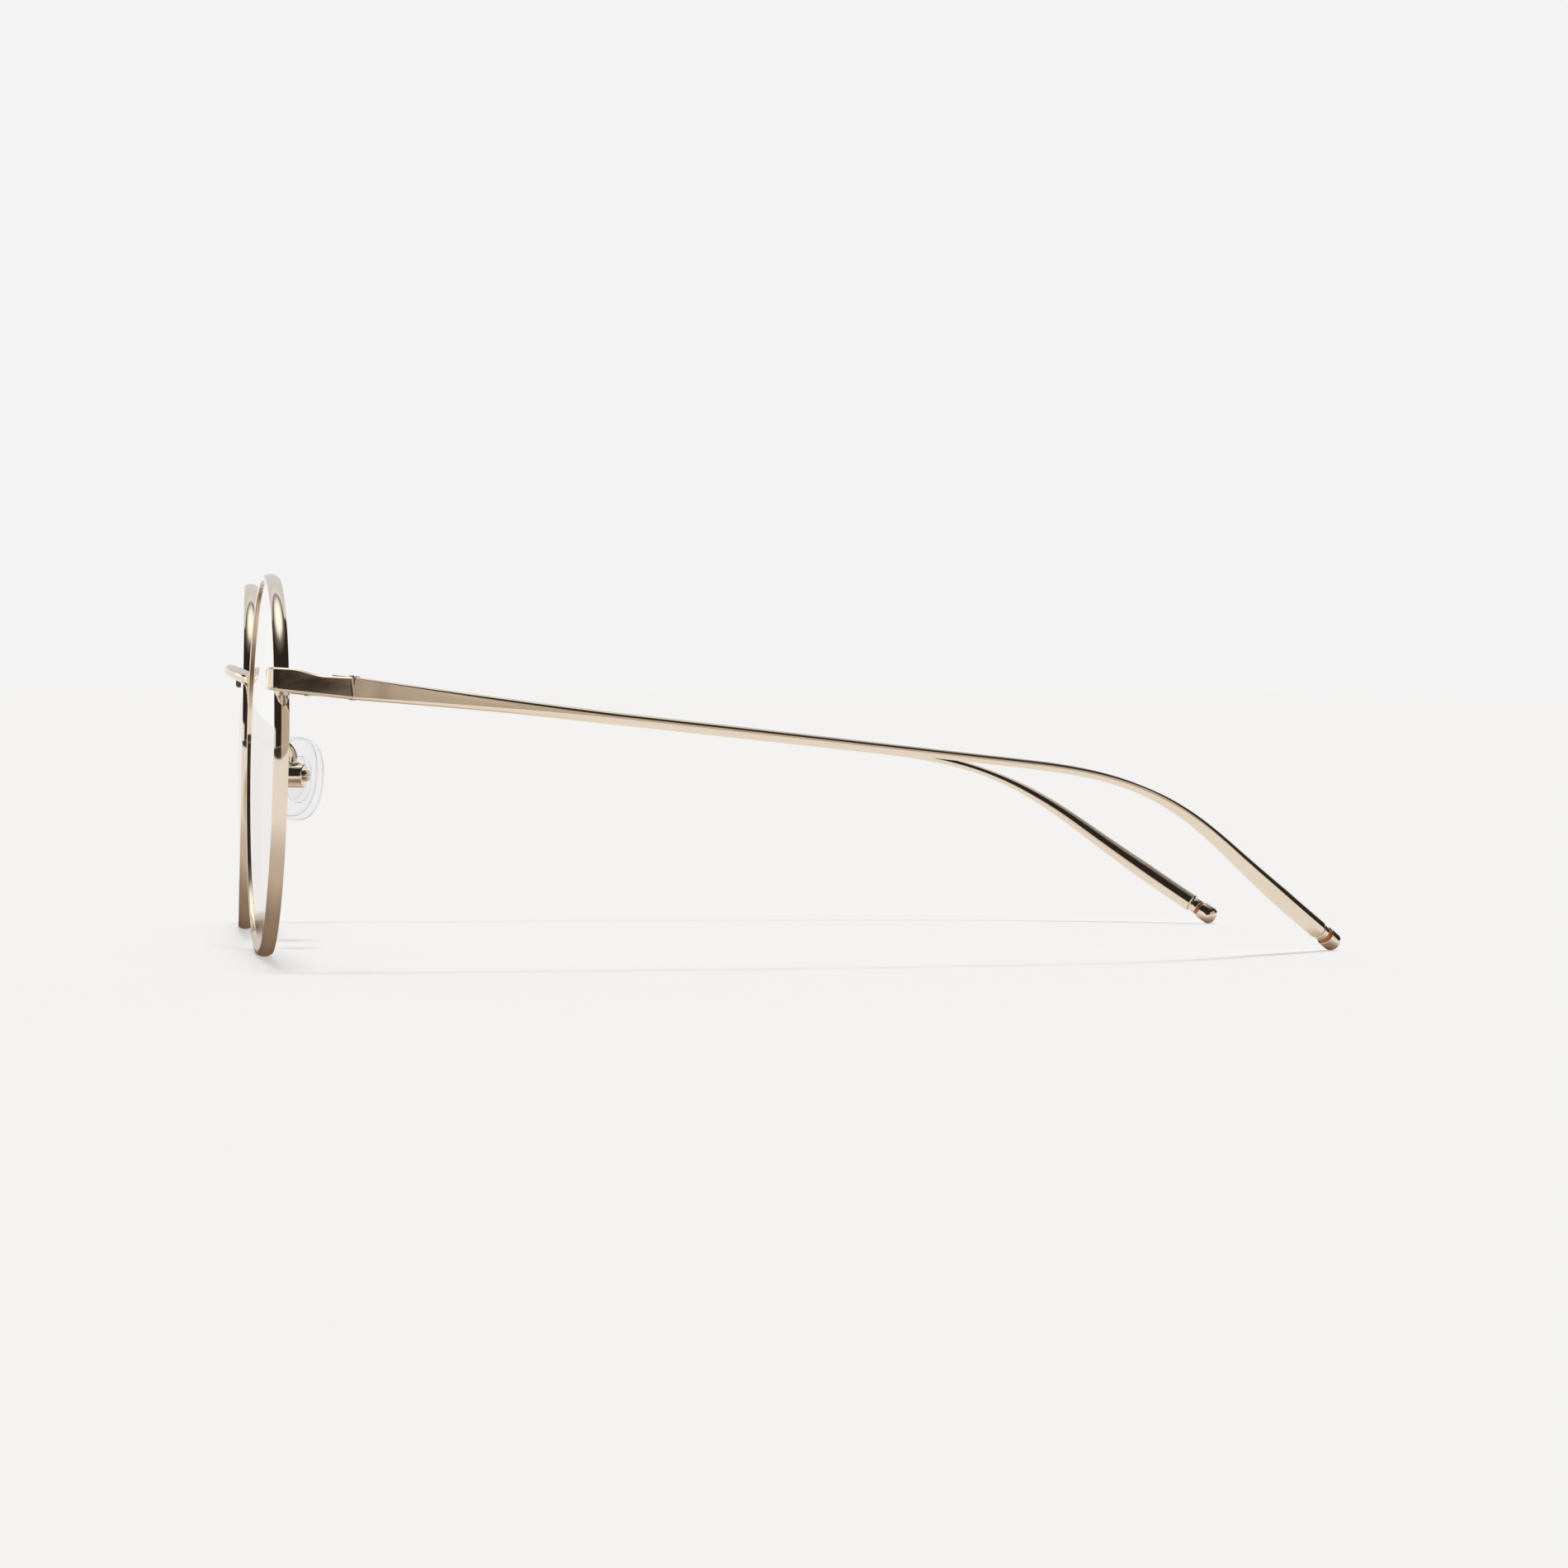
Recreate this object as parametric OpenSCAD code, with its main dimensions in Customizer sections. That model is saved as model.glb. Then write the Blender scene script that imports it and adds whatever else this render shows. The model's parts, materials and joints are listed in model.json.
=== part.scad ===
// Round wire spectacles with a spectacle front, adjustable nose pads and two folding temples.
// +X is the wearer's left, the lenses face -Y, and the rims and temple tips stand on z = 0.

/* [Rims] */
// Distance between the centres of the two lenses
lens_spacing = 70; // [68:0.5:73]
// Radius of the round lower part of a rim
bottom_r = 24; // [23.5:0.1:24.5]
// Radius of a rim's flatter sides
side_r = 28.4; // [28:0.1:29]
// Radius of a rim's flat top
top_r = 29.5; // [29:0.1:30]
// Depth of the rim wire from front to back
rim_depth = 1.9; // [1.8:0.05:2.2]
// Thickness of the rim wire in its own plane
rim_wall = 1; // [0.95:0.05:1.2]
// Angle by which each rim's outer side goes back
wrap_angle = 1.8; // [1:0.1:3]
// Angle by which the top of the rims leans back
lean_angle = 1.05; // [0.5:0.05:2]

/* [Lenses] */
// Radius of the lens's front surface
lens_front_r = 380; // [130:10:600]
// Thickness of a lens
lens_thickness = 1.55; // [1.4:0.05:1.6]

/* [Bridge] */
// Diameter of the bridge wire
bridge_d = 1.45; // [1.2:0.05:1.6]
// How far the bridge's middle stands forward of its ends
bridge_forward = 2.7; // [2:0.1:3.5]
// How far the bridge's middle rises above its ends
bridge_rise = 1.2; // [0.8:0.1:2]

/* [Endpieces and hinges] */
// Distance from the middle to the outer face of an endpiece
half_width = 62.9; // [62.8:0.1:64]
// Thickness of the endpiece strip
strip_t = 0.95; // [0.8:0.05:1]
// Height of the temple blade at the hinge
blade_h = 2.84; // [2.7:0.02:3]
// Distance from the rims to the hinge
hinge_y = 10.2; // [9.8:0.1:11]
// Diameter of a hinge knuckle
knuckle_d = 1.9; // [1.8:0.05:2]
// Diameter of the hinge screw
hinge_screw_d = 1; // [0.9:0.05:1.1]

/* [Temples] */
// Length of a temple along its curve
temple_length = 145; // [135:5:150]
// Length before the ear bend
shaft_length = 85; // [80:1:90]
// Length of the ear bend
bend_length = 36.5; // [34:0.5:40]
// Slope of the shaft
shaft_drop = 6.3; // [5:0.1:7]
// Slope just after the bend
bend_drop = 33.4; // [30:0.2:36]
// Slope at the tip
tip_drop = 31.3; // [30:0.1:34]
// Inward angle at the start of the bend
shaft_inward = 7.9; // [6:0.1:9]
// Inward angle at the tip
tip_inward = 33.6; // [30:0.2:35]
// Diameter of the wire ahead of the bend
wire_d = 1.16; // [1.1:0.02:1.3]
// Diameter of the temple's end
tip_d = 2.56; // [2.4:0.02:2.6]

/* [Nose pads] */
// Height of a nose pad
pad_h = 11.2; // [10:0.2:12]
// Width of a nose pad
pad_w = 6.8; // [6:0.2:7.2]
// Angle by which the pads open towards the face
pad_splay = 22; // [20:1:25]
// Angle by which the pads open downward
pad_tilt = 12; // [10:1:14]

/* [Hidden] */

gold = [0.85, 0.77, 0.66];
orange = [0.80, 0.42, 0.16];
clear = [0.92, 0.93, 0.95, 0.3];
steel = [0.80, 0.74, 0.66];
fit = 0.02;      // clearance of a fixed or brazed seat
running = 0.05;  // radial clearance of a pivot
tiny = 0.01;

// Rim outline: arcs that meet without a corner, from the bottom up to the top. They meet on
// lines through their centres, in these directions.
side_dir = [0.6, -0.8];
corner_dir = [1, 0];
top_dir = [0.6, 0.8];
corner_r = ((bottom_r - side_r) * side_dir[0] + side_r * corner_dir[0] - top_r * top_dir[0])
    / (corner_dir[0] - top_dir[0]);
side_c = (bottom_r - side_r) * side_dir;
corner_c = side_c + (side_r - corner_r) * corner_dir;
top_c = [0, corner_c[1] + (corner_r - top_r) * top_dir[1]];
outline_mid = (top_c[1] + top_r - bottom_r) / 2;
rim_h = top_c[1] + top_r + bottom_r;
function flip(v) = [-v[0], v[1]];
// Each arc: centre, radius, and the directions in which it starts and ends
MIDDLE_ARCS = [[[0, 0], bottom_r, flip(side_dir), side_dir], [top_c, top_r, top_dir, flip(top_dir)]];
SIDE_ARCS = [[side_c, side_r, side_dir, corner_dir], [corner_c, corner_r, corner_dir, top_dir]];

// Rim section
crown_r = 1.6;
groove_half = 0.45;
groove_depth = 0.42;
rim_z = rim_h / 2 * cos(lean_angle) + 0.004;
rim_y = rim_h / 2 * sin(lean_angle);
rim_x = lens_spacing / 2;

// Lens: the edge's front sits a little behind the rim's front
lens_edge_front = 0.62;
lens_apex = lens_edge_front + pow(rim_h / 2 - rim_wall, 2) / (2 * lens_front_r);

// Temple path
tip_straight = 7;
step_count = 58;
step = temple_length / step_count;
bow_power = 1.6;
bend_end = shaft_length + bend_length;
function ease(t) = let (u = min(max(t, 0), 1)) u * u * (3 - 2 * u);
function along(t) = min(max(t, 0), 1);
function drop_at(s) = shaft_drop + (bend_drop - shaft_drop) * ease((s - shaft_length) / bend_length)
    + (tip_drop - bend_drop) * along((s - bend_end) / (temple_length - tip_straight - bend_end));
function inward_at(s) = shaft_inward * pow(along(s / shaft_length), bow_power)
    + (tip_inward - shaft_inward) * ease((s - shaft_length) / bend_length);
function direction_at(s) = [-cos(drop_at(s)) * sin(inward_at(s)),
    cos(drop_at(s)) * cos(inward_at(s)), -sin(drop_at(s))];
// The path from the hinge, starting at the origin
PATH = [for (i = 0, p = [0, 0, 0]; i <= step_count; p = p + step * direction_at((i + 0.5) * step), i = i + 1) p];
function path_at(s) = let (i = min(floor(s / step), step_count - 1), f = s / step - i)
    PATH[i] * (1 - f) + PATH[i + 1] * f;

// Temple tip pieces, as distances from the very end
cap_l = 2.4;
ring_l = 0.5;
collar_l = 0.95;
neck_l = 0.25;
blade_end = temple_length - cap_l - ring_l - collar_l - neck_l;
cap_r = 1.3;
cap_round = 0.9;
spigot_r = 0.6;
neck_r = 1;
ring_r = 1.06;
collar_r = 1.12;
tip_low = (cap_r - cap_round) * cos(tip_drop) + cap_round - cap_round * sin(tip_drop);
tip_back = cap_round * (1 - cos(tip_drop) * cos(tip_inward))
    + (cap_r - cap_round) * sqrt(1 - pow(cos(tip_drop) * cos(tip_inward), 2));

// Hinge
blade_t = 1;
hinge_x = half_width - blade_t / 2;
hinge_z = tip_low - PATH[step_count][2];
pivot_x = -blade_t / 2 - knuckle_d / 2 - fit;
stop_gap = 0.05;
knuckle_h = 0.9;
knuckle_gap = 0.04;
leaf_l = 2.8;
leaf_t = 0.55;
screw_head_d = 1.4;
screw_head_h = 0.2;
screw_end = 0.1;

// Endpiece strip
front_y = -0.58;
bend_out_r = 1.35;
leg_x = rim_x + 22.6;
step_down = 0.75;
step_start = 2.2;
step_l = 4.4;
strip_top = hinge_z + blade_h / 2 + 1.2;
strip_bottom = hinge_z - blade_h / 2 + 1.15;

// Closing block, behind the endpiece
block_d = 1.9;
block_x = half_width - strip_t - block_d / 2 - 0.06;
block_y = 1.5;
block_h = 1.3;
fillet_h = 1.75;
web_w = 1;
split_z = 35.25;
split_gap = 0.08;
closing_d = 0.8;
closing_head_d = 1.2;
closing_head_h = 0.4;

// Bridge: an arc in a plane that slopes forward and up
bridge_half = rim_x - 24;
bridge_sag = sqrt(pow(bridge_forward, 2) + pow(bridge_rise, 2));
bridge_r = (pow(bridge_half, 2) + pow(bridge_sag, 2)) / (2 * bridge_sag);
bridge_slope = atan2(bridge_rise, bridge_forward);
bridge_y = -0.62;
bridge_z = 35.9;
bridge_reach = asin(bridge_half / bridge_r) + 3;

// Nose pad assembly, about the middle of the pad screw
pad_pivot = [rim_x - 24.7, 4.9, 22.9];
box_r = 1.6;
box_w = 3.4;
box_gap = 1.9;
box_back = 0.95;
box_front = -0.9;
pad_screw_d = 0.7;
boss_w = 1.7;
boss_r = 0.85;
pad_back = -1.75;
pad_t = 2.3;
core_t = 0.6;
core_h = 6.4;
core_w = 3.4;
arm_d = 1;
arm_r = 2.2;
arm_top = 25.25;
arm_low = 24.65;
arm_x = rim_x - 25.3;
arm_y = 5;
collar_d = 2.1;

// The origin is the middle of the object's box in X and Y
low_y = bridge_y - bridge_forward - bridge_d / 2;
high_y = hinge_y + PATH[step_count][1] + tip_back;
shift_y = -(low_y + high_y) / 2;

// Placements
module place() { translate([0, shift_y, 0]) children(); }
module right() { place() mirror([1, 0, 0]) children(); }
// The rim's own frame: x outward, y up and z towards the front
module rim_frame() {
    translate([rim_x, rim_y, rim_z]) rotate([-lean_angle, 0, wrap_angle]) rotate([90, 0, 0]) children();
}
// The hinge's own frame: y along the temple and z along the hinge screw
module hinge_frame() {
    translate([hinge_x, hinge_y, hinge_z]) rotate([-shaft_drop, 0, 0]) children();
}
module tip_frame(from_end) {
    d = temple_length - from_end;
    translate([hinge_x, hinge_y, hinge_z] + path_at(d))
        rotate([-(90 + tip_drop), 0, tip_inward]) children();
}
// The pad's own frame: x away from the nose, y along the pad screw and z along the pad
module pad_frame() {
    translate(pad_pivot) rotate([0, 0, -pad_splay]) rotate([0, -pad_tilt, 0]) children();
}

// Carries a section round one arc of the outline
module sweep_arc(arc) {
    reach = 60;
    translate([arc[0][0], arc[0][1] - outline_mid, 0]) intersection() {
        rotate_extrude($fn = 180) translate([arc[1], 0]) children();
        translate([0, 0, -reach / 2]) linear_extrude(height = reach)
            polygon([[0, 0], reach * arc[2], reach * (arc[2] + arc[3]), reach * arc[3]]);
    }
}
module sweep_outline() {
    for (arc = MIDDLE_ARCS) sweep_arc(arc) children();
    for (side = [0, 1]) mirror([side, 0, 0])
        for (arc = SIDE_ARCS) sweep_arc(arc) children();
}

module rim() {
    rim_frame() difference() {
        sweep_outline() difference() {
            intersection() {
                translate([-rim_wall, -rim_depth / 2]) square([rim_wall, rim_depth]);
                translate([-crown_r, 0]) circle(r = crown_r, $fn = 96);
            }
            polygon([[-rim_wall - tiny, groove_half], [groove_depth - rim_wall, 0],
                [-rim_wall - tiny, -groove_half]]);
        }
        // The saw cut that the closing block holds shut
        translate([15, split_z - rim_z - split_gap / 2, -rim_depth]) cube([15, split_gap, 2 * rim_depth]);
    }
}

module lens() {
    edge = rim_wall + fit;
    rim_frame() union() {
        intersection() {
            union() {
                sweep_outline() translate([-14, -4]) square([14 - edge, 8]);
                translate([0, 0, -4]) cylinder(r = 22, h = 8, $fn = 180);
            }
            translate([0, 0, lens_apex - lens_front_r]) difference() {
                sphere(r = lens_front_r, $fn = 240);
                sphere(r = lens_front_r - lens_thickness, $fn = 240);
            }
        }
        sweep_outline() polygon([[-edge - 0.4, 0.4], [-edge, 0.38],
            [groove_depth - edge - 0.06, 0], [-edge, -0.38], [-edge - 0.4, -0.4]]);
    }
}

module bridge_wire() {
    difference() {
        translate([0, bridge_y, bridge_z]) rotate([-bridge_slope, 0, 0])
            translate([0, bridge_r - bridge_sag, 0]) rotate([0, 0, -90 - bridge_reach])
                rotate_extrude(angle = 2 * bridge_reach, $fn = 160)
                    translate([bridge_r, 0]) circle(d = bridge_d, $fn = 48);
        // The ends are cut to the rims' round outer edges
        for (side = [0, 1]) mirror([side, 0, 0]) rim_frame()
            translate([-corner_c[0], corner_c[1] - outline_mid, -5]) cylinder(r = corner_r + fit, h = 10, $fn = 240);
    }
}

function strip_top_at(y) = strip_top - 0.045 * y - step_down * ease((y - step_start) / step_l);
module endpiece() {
    top_points = [for (i = [-2:14]) [i * 0.9, strip_top_at(i * 0.9)]];
    bend_x = half_width - bend_out_r;
    bend_y = front_y + bend_out_r;
    difference() {
        intersection() {
            union() {
                translate([leg_x, front_y, 30]) cube([bend_x - leg_x, strip_t + 0.15, 12]);
                translate([bend_x, bend_y, 30]) rotate([0, 0, -90])
                    rotate_extrude(angle = 90, $fn = 96)
                        translate([bend_out_r - strip_t, 0]) square([strip_t, 12]);
                translate([half_width - strip_t, bend_y, 30]) cube([strip_t, hinge_y - bend_y + 3, 12]);
            }
            translate([leg_x - 1, 0, 0]) rotate([90, 0, 90]) linear_extrude(height = 12)
                polygon(concat(top_points, [[12.6, strip_bottom - 1.35], [-1.8, strip_bottom + 0.2]]));
        }
        // Flat seat on the front of the rim
        rim_frame() translate([15, -10, rim_depth / 2 + fit - 4]) cube([10.4, 40, 4]);
        // End that meets the temple, square to the hinge screw
        hinge_frame() translate([-10, -stop_gap / 2, -10]) cube([20, 20, 20]);
        // Bevels along the lower outer edge and at the end
        hinge_frame() translate([blade_t / 2, -20, -blade_h / 2 - 0.02]) rotate([0, 45, 0])
            translate([-0.3, 0, -0.3]) cube([0.6, 40, 0.6]);
        hinge_frame() translate([blade_t / 2, -stop_gap / 2, -10]) rotate([0, 0, 45])
            translate([-0.16, -0.16, 0]) cube([0.32, 0.32, 20]);
    }
}

// One knuckle of the hinge about the hinge screw, from height z up
module knuckle(z, h, bore_r) {
    translate([pivot_x, 0, z]) difference() {
        cylinder(d = knuckle_d, h = h, $fn = 64);
        translate([0, 0, -1]) cylinder(r = bore_r, h = h + 2, $fn = 48);
    }
}
// The plate that holds a knuckle to the strip, in direction 1 for the temple and -1 for the endpiece
module leaf(direction, z, h) {
    inner = blade_t / 2 - (direction > 0 ? blade_t : strip_t) - fit;
    difference() {
        translate([inner - leaf_t, direction > 0 ? 0 : -leaf_l, z]) cube([leaf_t, leaf_l, h]);
        translate([pivot_x, 0, z - 1]) cylinder(d = knuckle_d - 0.2, h = h + 2, $fn = 64);
    }
}
outer_z = knuckle_h / 2 + knuckle_gap;
module hinge_front() {
    hinge_frame() for (z = [outer_z, -outer_z - knuckle_h]) {
        knuckle(z, knuckle_h, hinge_screw_d / 2 + fit);
        leaf(-1, z, knuckle_h);
    }
}
module hinge_temple() {
    hinge_frame() {
        knuckle(-knuckle_h / 2, knuckle_h, hinge_screw_d / 2 + running);
        leaf(1, -knuckle_h / 2, knuckle_h);
    }
}
module hinge_screw() {
    top = outer_z + knuckle_h;
    hinge_frame() translate([pivot_x, 0, 0]) difference() {
        union() {
            translate([0, 0, -top - screw_end]) cylinder(d = hinge_screw_d, h = 2 * top + 2 * screw_end, $fn = 48);
            translate([0, 0, top + tiny]) cylinder(d = screw_head_d, h = screw_head_h, $fn = 64);
        }
        translate([-1, -0.12, top + screw_head_h - 0.1]) cube([2, 0.24, 1]);
    }
}

// Everything inside the rim's outline, to cut a seat on the rim's outer edge
module rim_seat() {
    rim_frame() translate([corner_c[0], corner_c[1] - outline_mid, -5])
        cylinder(r = corner_r + fit, h = 10, $fn = 180);
}
module closing_bore(z, h) {
    translate([block_x, block_y, z]) cylinder(d = closing_d + 2 * fit, h = h, $fn = 48);
}
// The web that joins a block half to the rim, from height z up
module block_web(z) {
    translate([block_x - 3, block_y - web_w / 2, z]) cube([3, web_w, block_h]);
}
module closing_block_upper() {
    low = split_z + split_gap / 2;
    difference() {
        union() {
            translate([block_x, block_y, low]) cylinder(d = block_d, h = block_h, $fn = 64);
            block_web(low);
        }
        rim_seat();
        closing_bore(split_z - 1, 2.2);
    }
}
module closing_block_lower() {
    low = split_z - split_gap / 2 - block_h;
    difference() {
        union() {
            translate([block_x, block_y, low]) cylinder(d = block_d - 0.1, h = block_h, $fn = 64);
            block_web(low);
            // Brazed fillet that runs down the rim to a point
            translate([block_x - 0.4, block_y + 0.1, low - fillet_h + 0.2])
                cylinder(r1 = 0.12, r2 = 0.82, h = fillet_h, $fn = 48);
        }
        rim_seat();
        closing_bore(low - 1, block_h + 2);
        translate([block_x, block_y, low - 2])
            cylinder(d = closing_head_d + 2 * fit, h = 2 + closing_head_h, $fn = 48);
    }
}
module closing_screw() {
    low = split_z - split_gap / 2 - block_h;
    translate([block_x, block_y, low]) difference() {
        union() {
            cylinder(d = closing_head_d, h = closing_head_h - fit, $fn = 48);
            cylinder(d = closing_d, h = block_h + 1, $fn = 48);
        }
        translate([-1, -0.09, -1]) cube([2, 0.18, 1.12]);
    }
}

// Wire that rises from the back of the rim and comes down to the pad box
module pad_arm() {
    difference() {
        translate([arm_x, arm_y, 0]) union() {
            translate([0, -arm_r, arm_top]) rotate([0, 0, 90]) rotate([90, 0, 0])
                rotate_extrude(angle = 172, $fn = 120) translate([arm_r, 0]) circle(d = arm_d, $fn = 40);
            translate([0, 0, arm_low + fit]) cylinder(d = arm_d, h = arm_top - arm_low - fit, $fn = 40);
        }
        // Flat foot on the back of the rim
        rim_frame() translate([-40, -20, -rim_depth / 2 - fit]) cube([40, 40, 10]);
    }
}
module pad_box() {
    difference() {
        union() {
            intersection() {
                pad_frame() rotate([90, 0, 0])
                    translate([0, 0, -box_w / 2]) cylinder(r = box_r, h = box_w, $fn = 96);
                translate([0, -10, 0]) cube([30, 30, arm_low - 0.25]);
            }
            translate([arm_x, arm_y, arm_low - 0.75]) cylinder(d = collar_d, h = 0.75, $fn = 64);
        }
        pad_frame() {
            translate([-5, -10, -5]) cube([5 + box_front, 20, 10]);
            translate([-5, -box_gap / 2, -2.2]) cube([5 + box_back, box_gap, 3.4]);
            rotate([90, 0, 0]) translate([0, 0, -5]) cylinder(d = pad_screw_d + 2 * fit, h = 10, $fn = 48);
        }
    }
}
module pad_screw() {
    pad_frame() rotate([-90, 0, 0]) difference() {
        union() {
            translate([0, 0, -box_w / 2]) cylinder(d = pad_screw_d, h = box_w + 0.1, $fn = 48);
            translate([0, 0, box_w / 2 + tiny]) cylinder(d = 1.5, h = 0.5, $fn = 64);
        }
        translate([-1, -0.1, box_w / 2 + 0.31]) cube([2, 0.2, 1]);
    }
}

// Oval with flattened sides, as a share of its half width and half height
function oval(w, h, n) = [for (i = [0:n - 1]) let (a = 360 * i / n, p = 2 / 2.4)
    [w / 2 * sign(cos(a)) * pow(abs(cos(a)), p), h / 2 * sign(sin(a)) * pow(abs(sin(a)), p)]];
// A plate with an oval outline that lies across the pad's x axis, from x back by t
module oval_plate(x, t, w, h) {
    translate([x - t, 0, 0]) rotate([90, 0, 90]) linear_extrude(height = t) polygon(oval(w, h, 40));
}
pad_inner = pad_back - 0.55;
module pad_core() {
    pad_frame() difference() {
        union() {
            oval_plate(pad_inner, core_t, core_w, core_h);
            translate([pad_inner - core_t / 2, -boss_w / 2, -boss_r + 0.1])
                cube([-pad_inner + core_t / 2, boss_w, 2 * boss_r - 0.2]);
            rotate([90, 0, 0]) translate([0, 0, -boss_w / 2]) cylinder(r = boss_r, h = boss_w, $fn = 64);
        }
        rotate([90, 0, 0]) translate([0, 0, -5]) cylinder(d = pad_screw_d + 2 * running, h = 10, $fn = 48);
    }
}
module nose_pad() {
    dome_r = 13;
    pad_frame() difference() {
        intersection() {
            oval_plate(pad_back, pad_t, pad_w, pad_h);
            translate([pad_back - pad_t + dome_r, 0, 0]) sphere(r = dome_r, $fn = 120);
        }
        oval_plate(pad_inner + fit, core_t + 2 * fit, core_w + 2 * fit, core_h + 2 * fit);
        translate([pad_inner, -boss_w / 2 - fit, -boss_r + 0.1 - fit])
            cube([3, boss_w + 2 * fit, 2 * boss_r - 0.2 + 2 * fit]);
    }
}

// Temple section: half thickness, half height and squareness along its length
blade_l = 34;
mid_d = 1.36;
swell_start = 103;
swell_end = 132;
function shaft_d(s) = s < blade_l ? mid_d + (blade_h - mid_d) * pow(1 - s / blade_l, 1.4)
    : mid_d + (wire_d - mid_d) * ease((s - blade_l) / 45)
        + (tip_d - wire_d) * along((s - swell_start) / (swell_end - swell_start));
function half_height(s) = shaft_d(s) / 2;
function half_thick(s) = s < blade_l
    ? blade_t / 2 + (mid_d - blade_t) / 2 * along((s - leaf_l) / (blade_l - leaf_l)) : shaft_d(s) / 2;
function squareness(s) = 2 + 5 * pow(along(1 - s / blade_l), 1.5);
section_sides = 16;
function ring(p, s, rx, rz, n) = let (d = direction_at(s), side = [d[1], -d[0], 0] / norm([d[0], d[1]]),
        up = cross(side, d))
    [for (i = [0:section_sides - 1]) let (a = 360 * (i + 0.5) / section_sides)
        p + side * rx * sign(cos(a)) * pow(abs(cos(a)), 2 / n)
            + up * rz * sign(sin(a)) * pow(abs(sin(a)), 2 / n)];
module tube(rings) {
    n = section_sides;
    last = len(rings) - 1;
    faces = concat([[for (i = [0:n - 1]) i]], [[for (i = [n - 1:-1:0]) last * n + i]],
        [for (k = [0:last - 1], i = [0:n - 1], half = [0, 1]) let (a = k * n + i, b = k * n + (i + 1) % n)
            half == 0 ? [a, a + n, b] : [b, a + n, b + n]]);
    polyhedron(points = [for (r = rings) each r], faces = faces, convexity = 6);
}
module temple() {
    body_steps = floor((blade_end - 0.5) / step);
    stops = concat([stop_gap / 2], [for (i = [1:body_steps]) i * step], [blade_end - 0.3]);
    body = [for (s = stops) ring(path_at(s), s, half_thick(s), half_height(s), squareness(s))];
    function round_ring(s, r) = ring(path_at(s), temple_length, r, r, 2);
    ends = [round_ring(blade_end, tip_d / 2 - 0.15), round_ring(blade_end, neck_r),
        round_ring(blade_end + neck_l, neck_r), round_ring(blade_end + neck_l, spigot_r),
        round_ring(temple_length - cap_l + 1, spigot_r)];
    translate([hinge_x, hinge_y, hinge_z]) tube(concat(body, ends));
}

// A sleeve round the temple's spigot with softly rounded ends
module sleeve(from_end, length, r, edge) {
    start = fit / 2;
    end = length - fit / 2;
    tip_frame(from_end) rotate_extrude($fn = 96)
        polygon([[spigot_r + fit, start], [r - edge, start], [r, start + edge], [r, end - edge],
            [r - edge, end], [spigot_r + fit, end]]);
}
module tip_collar() { sleeve(cap_l + ring_l + collar_l, collar_l, collar_r, 0.12); }
module tip_ring() { sleeve(cap_l + ring_l, ring_l, ring_r, 0.08); }
module tip_cap() {
    tip_frame(cap_l) difference() {
        union() {
            cylinder(r = cap_r, h = cap_l - cap_round, $fn = 96);
            translate([0, 0, cap_l - cap_round]) rotate_extrude($fn = 96)
                translate([cap_r - cap_round, 0]) intersection() {
                    circle(r = cap_round, $fn = 96);
                    square(cap_round);
                }
            translate([0, 0, cap_l - cap_round]) cylinder(r = cap_r - cap_round, h = cap_round, $fn = 96);
        }
        translate([0, 0, -1]) cylinder(r = spigot_r + fit, h = 2.1, $fn = 48);
    }
}

module left_rim() { color(gold) place() rim(); }
module right_rim() { color(gold) right() rim(); }
module left_lens() { color(clear) place() lens(); }
module right_lens() { color(clear) right() lens(); }
module bridge() { color(gold) place() bridge_wire(); }
module left_endpiece() { color(gold) place() endpiece(); }
module right_endpiece() { color(gold) right() endpiece(); }
module left_hinge_front() { color(steel) place() hinge_front(); }
module right_hinge_front() { color(steel) right() hinge_front(); }
module left_hinge_temple() { color(steel) place() hinge_temple(); }
module right_hinge_temple() { color(steel) right() hinge_temple(); }
module left_hinge_screw() { color(steel) place() hinge_screw(); }
module right_hinge_screw() { color(steel) right() hinge_screw(); }
module left_closing_block_upper() { color(gold) place() closing_block_upper(); }
module right_closing_block_upper() { color(gold) right() closing_block_upper(); }
module left_closing_block_lower() { color(gold) place() closing_block_lower(); }
module right_closing_block_lower() { color(gold) right() closing_block_lower(); }
module left_closing_screw() { color(steel) place() closing_screw(); }
module right_closing_screw() { color(steel) right() closing_screw(); }
module left_pad_arm() { color(gold) place() pad_arm(); }
module right_pad_arm() { color(gold) right() pad_arm(); }
module left_pad_box() { color(gold) place() pad_box(); }
module right_pad_box() { color(gold) right() pad_box(); }
module left_pad_screw() { color(steel) place() pad_screw(); }
module right_pad_screw() { color(steel) right() pad_screw(); }
module left_pad_core() { color(clear) place() pad_core(); }
module right_pad_core() { color(clear) right() pad_core(); }
module left_nose_pad() { color(clear) place() nose_pad(); }
module right_nose_pad() { color(clear) right() nose_pad(); }
module left_temple() { color(gold) place() temple(); }
module right_temple() { color(gold) right() temple(); }
module left_tip_collar() { color(gold) place() tip_collar(); }
module right_tip_collar() { color(gold) right() tip_collar(); }
module left_tip_ring() { color(orange) place() tip_ring(); }
module right_tip_ring() { color(orange) right() tip_ring(); }
module left_tip_cap() { color(gold) place() tip_cap(); }
module right_tip_cap() { color(gold) right() tip_cap(); }

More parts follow.
